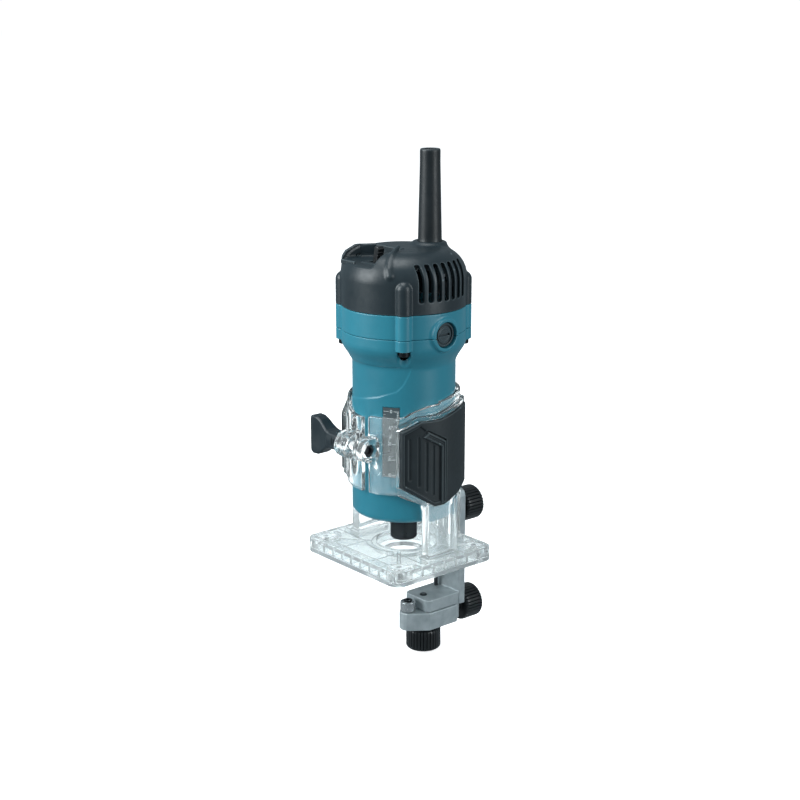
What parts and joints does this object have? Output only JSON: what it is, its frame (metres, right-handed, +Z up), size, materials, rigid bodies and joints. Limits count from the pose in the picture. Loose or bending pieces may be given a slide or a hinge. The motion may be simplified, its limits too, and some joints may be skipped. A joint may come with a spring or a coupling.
{
  "type": "trim router",
  "caption": "Hand-held trim router: round motor sliding in a clear base with a square foot plate, side grips, wing clamp screw and an adjustable roller edge guide.",
  "frame": {"origin": "where the spindle axis meets the sole face of the base, at the centre of the round opening in the sole plate", "axes": "+Z up along the spindle towards the cord guard, -Y to the front (the clamp screw's side), +Y to the back (the edge guide's side), +X to the right seen from the front"},
  "size_m": [0.092, 0.109, 0.3272],
  "materials": {
    "clear_plastic": "clear moulded polycarbonate",
    "sole_plastic": "clear moulded plastic",
    "teal_plastic": "fine textured glass-filled nylon, teal",
    "dark_plastic": "fine textured dark grey nylon",
    "grip_rubber": "moulded soft grip",
    "black_plastic": "black moulded plastic",
    "steel": "machined steel, zinc plated",
    "black_steel": "black oxide steel",
    "aluminium": "satin die-cast aluminium",
    "copper": "enamelled copper wire",
    "brass": "brass",
    "carbon": "carbon graphite",
    "rubber": "rubber",
    "scale_print": "dark printed strip with pale marks",
    "wire_sheath": "coloured wire insulation"
  },
  "bodies": {
    "base": {"base_body": "clear_plastic", "base_protector": "sole_plastic", "protector_screws": "steel", "grip_right": "grip_rubber", "grip_left": "grip_rubber", "clamp_nut": "steel", "guide_mount_nut": "steel"},
    "wing_screw": {"wing_knob": "dark_plastic", "wing_stud": "steel", "wing_washer": "steel"},
    "motor": {"motor_housing": "teal_plastic", "brush_ring": "teal_plastic", "top_cover": "dark_plastic", "housing_screws": "steel", "scale_plate": "scale_print", "brush_holders": "brass", "carbon_brushes": "carbon", "brush_springs": "steel", "field_core": "steel", "field_winding": "copper", "lower_bearing": "steel", "upper_bearing": "steel", "bearing_sleeve": "rubber", "fan_baffle": "dark_plastic", "switch_body": "black_plastic", "cord_guard": "rubber", "cord_clamp": "dark_plastic", "cord_clamp_screws": "steel", "lead_wires": "wire_sheath"},
    "spindle": {"spindle_shaft": "steel", "armature_core": "steel", "armature_winding": "copper", "commutator": "copper", "cooling_fan": "dark_plastic", "collet_cone": "steel"},
    "collet_nut": {"collet_nut": "black_steel"},
    "switch_lever": {"switch_lever": "black_plastic"},
    "brush_cap_right": {"brush_cap_right": "black_plastic"},
    "brush_cap_left": {"brush_cap_left": "black_plastic"},
    "guide_bracket": {"guide_bracket": "aluminium", "stop_pin": "black_steel", "adjust_clip": "steel"},
    "upper_clamp_screw": {"clamp_knob_a": "black_plastic", "clamp_stud_a": "steel"},
    "lower_clamp_screw": {"clamp_knob_b": "black_plastic", "clamp_stud_b": "steel", "clamp_washer": "steel"},
    "adjusting_screw": {"adjust_knob": "black_plastic", "adjust_spindle": "steel"},
    "slider": {"guide_slider": "aluminium", "roller_screw": "black_steel"},
    "roller": {"guide_roller": "steel"}
  },
  "joints": [
    {"name": "height_slide", "type": "slide", "parent": "base", "child": "motor", "axis": [0, 0, 1], "range_m": [-0.007, 0.033]},
    {"name": "spindle_spin", "type": "hinge", "parent": "motor", "child": "spindle", "pos_m": [0, 0, 0.06], "axis": [0, 0, 1], "continuous": true},
    {"name": "collet_nut_turn", "type": "hinge", "parent": "spindle", "child": "collet_nut", "pos_m": [0, 0, 0.02], "axis": [0, 0, 1], "range_deg": [-30, 1080]},
    {"name": "wing_screw_turn", "type": "hinge", "parent": "base", "child": "wing_screw", "pos_m": [-0.03, -0.0395, 0.0795], "axis": [1, 0, 0], "range_deg": [-360, 720]},
    {"name": "switch_toggle", "type": "hinge", "parent": "motor", "child": "switch_lever", "pos_m": [-0.001, -0.0205, 0.186], "axis": [0, 1, 0], "range_deg": [-20, 0]},
    {"name": "brush_cap_right_turn", "type": "hinge", "parent": "motor", "child": "brush_cap_right", "pos_m": [0.036, 0, 0.1505], "axis": [1, 0, 0], "range_deg": [0, 1440]},
    {"name": "brush_cap_left_turn", "type": "hinge", "parent": "motor", "child": "brush_cap_left", "pos_m": [-0.036, 0, 0.1505], "axis": [-1, 0, 0], "range_deg": [0, 1440]},
    {"name": "guide_height", "type": "slide", "parent": "base", "child": "guide_bracket", "axis": [0, 0, 1], "range_m": [-0.007, 0.01]},
    {"name": "upper_clamp_screw_turn", "type": "hinge", "parent": "base", "child": "upper_clamp_screw", "pos_m": [0, 0.05, 0.0225], "axis": [0, 1, 0], "range_deg": [0, 1080]},
    {"name": "lower_clamp_screw_turn", "type": "hinge", "parent": "guide_bracket", "child": "lower_clamp_screw", "pos_m": [0, 0.017, -0.06], "axis": [0, 0, -1], "range_deg": [0, 1080]},
    {"name": "adjusting_screw_turn", "type": "hinge", "parent": "guide_bracket", "child": "adjusting_screw", "pos_m": [0, 0.05, -0.047], "axis": [0, 1, 0], "range_deg": [0, 3600]},
    {"name": "guide_reach", "type": "slide", "parent": "guide_bracket", "child": "slider", "axis": [0, -1, 0], "range_m": [0, 0.01]},
    {"name": "roller_spin", "type": "hinge", "parent": "slider", "child": "roller", "pos_m": [0, 0.0036, -0.037], "axis": [0, 0, 1], "continuous": true}
  ],
  "couplings": [
    {"joint": "adjusting_screw_turn", "follows": "guide_reach", "rad_per_m": 6283.2}
  ]
}
